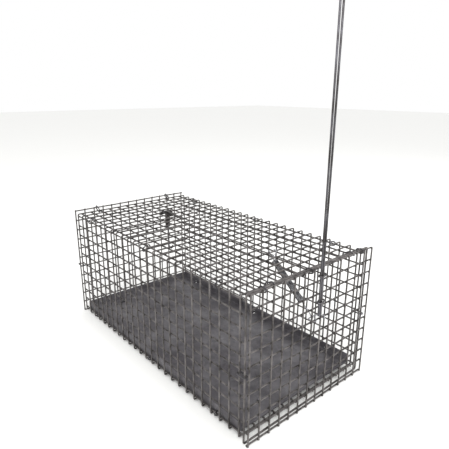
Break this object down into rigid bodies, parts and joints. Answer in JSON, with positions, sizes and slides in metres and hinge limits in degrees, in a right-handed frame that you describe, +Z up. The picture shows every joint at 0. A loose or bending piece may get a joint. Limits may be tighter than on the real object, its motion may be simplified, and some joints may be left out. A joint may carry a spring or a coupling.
{
  "type": "live catch trap",
  "caption": "Long box trap of welded wire mesh with a top-hinged sprung door, a tall lever rod on it, a solid floor plate and a baited trigger hanging from the roof.",
  "frame": {"origin": "centre of the bounding box on the ground it stands on", "axes": "+Z up, the door at -Y and the rear panel at +Y, +X to the trap's right seen from the door"},
  "size_m": [0.1704, 0.3314, 0.354],
  "materials": {
    "galvanised_wire_mesh": "dull zinc on welded wire",
    "galvanised_wire": "drawn and galvanised",
    "spring_wire": "bright drawn",
    "galvanised_sheet": "dull weathered zinc sheet",
    "dark_steel_sheet": "blackened sheet"
  },
  "bodies": {
    "cage": {"floor_mesh": "galvanised_wire_mesh", "floor_plate": "galvanised_sheet", "front_frame": "galvanised_wire", "front_ring_roof_left": "galvanised_wire", "front_ring_roof_right": "galvanised_wire", "front_ring_side_left": "galvanised_wire", "front_ring_side_right": "galvanised_wire", "hinge_ring_left": "galvanised_wire", "hinge_ring_middle": "galvanised_wire", "hinge_ring_right": "galvanised_wire", "left_side_mesh": "galvanised_wire_mesh", "plate_clip_left_front": "galvanised_wire", "plate_clip_left_rear": "galvanised_wire", "plate_clip_right_front": "galvanised_wire", "plate_clip_right_rear": "galvanised_wire", "rear_panel_mesh": "galvanised_wire_mesh", "rear_ring_floor_left": "galvanised_wire", "rear_ring_floor_right": "galvanised_wire", "rear_ring_roof_left": "galvanised_wire", "rear_ring_roof_right": "galvanised_wire", "rear_ring_side_left": "galvanised_wire", "rear_ring_side_right": "galvanised_wire", "right_side_mesh": "galvanised_wire_mesh", "roof_mesh": "galvanised_wire_mesh", "seam_ring_bottom_left_front": "galvanised_wire", "seam_ring_bottom_left_middle": "galvanised_wire", "seam_ring_bottom_left_rear": "galvanised_wire", "seam_ring_bottom_right_front": "galvanised_wire", "seam_ring_bottom_right_middle": "galvanised_wire", "seam_ring_bottom_right_rear": "galvanised_wire", "seam_ring_top_left_front": "galvanised_wire", "seam_ring_top_left_middle": "galvanised_wire", "seam_ring_top_left_rear": "galvanised_wire", "seam_ring_top_right_front": "galvanised_wire", "seam_ring_top_right_middle": "galvanised_wire", "seam_ring_top_right_rear": "galvanised_wire", "spring_hanger": "galvanised_wire", "trigger_bracket": "dark_steel_sheet", "trigger_pin": "galvanised_wire"},
    "door": {"door_mesh": "galvanised_wire_mesh", "lever_rod": "galvanised_wire", "rod_clip_lower": "galvanised_wire", "rod_clip_upper": "galvanised_wire", "spring_bail": "galvanised_wire"},
    "spring_upper": {"spring_hook_upper": "spring_wire", "spring_coil": "spring_wire"},
    "spring_end": {"spring_end_turn": "spring_wire"},
    "spring_lower": {"spring_hook_lower": "spring_wire"},
    "latch": {"trigger_latch": "dark_steel_sheet", "bait_hook": "galvanised_wire"}
  },
  "joints": [
    {"name": "door_hinge", "type": "hinge", "parent": "cage", "child": "door", "pos_m": [0, -0.15966, 0.14101], "axis": [-1, 0, 0], "range_deg": [0, 90], "stiffness_Nm_per_rad": 0.12, "springref_deg": -28.65, "deforming": ["spring_coil"]},
    {"name": "spring_swing", "type": "hinge", "parent": "cage", "child": "spring_upper", "pos_m": [0.00635, -0.09883, 0.13243], "axis": [-1, 0, 0], "range_deg": [0, 42]},
    {"name": "spring_stretch", "type": "slide", "parent": "spring_upper", "child": "spring_end", "axis": [0, -0.769, -0.6393], "range_m": [0, 0.0451]},
    {"name": "spring_hook_turn", "type": "hinge", "parent": "door", "child": "spring_lower", "pos_m": [0.00635, -0.15166, 0.08851], "axis": [1, 0, 0], "range_deg": [0, 51]},
    {"name": "trigger_pivot", "type": "hinge", "parent": "cage", "child": "latch", "pos_m": [0.00635, 0.08532, 0.13964], "axis": [-1, 0, 0], "range_deg": [0, 50]}
  ],
  "couplings": [
    {"joint": "spring_swing", "follows": "door_hinge", "ratio": 0.44481},
    {"joint": "spring_stretch", "follows": "door_hinge", "m_per_rad": 0.028412},
    {"joint": "spring_hook_turn", "follows": "door_hinge", "ratio": 0.55519}
  ]
}
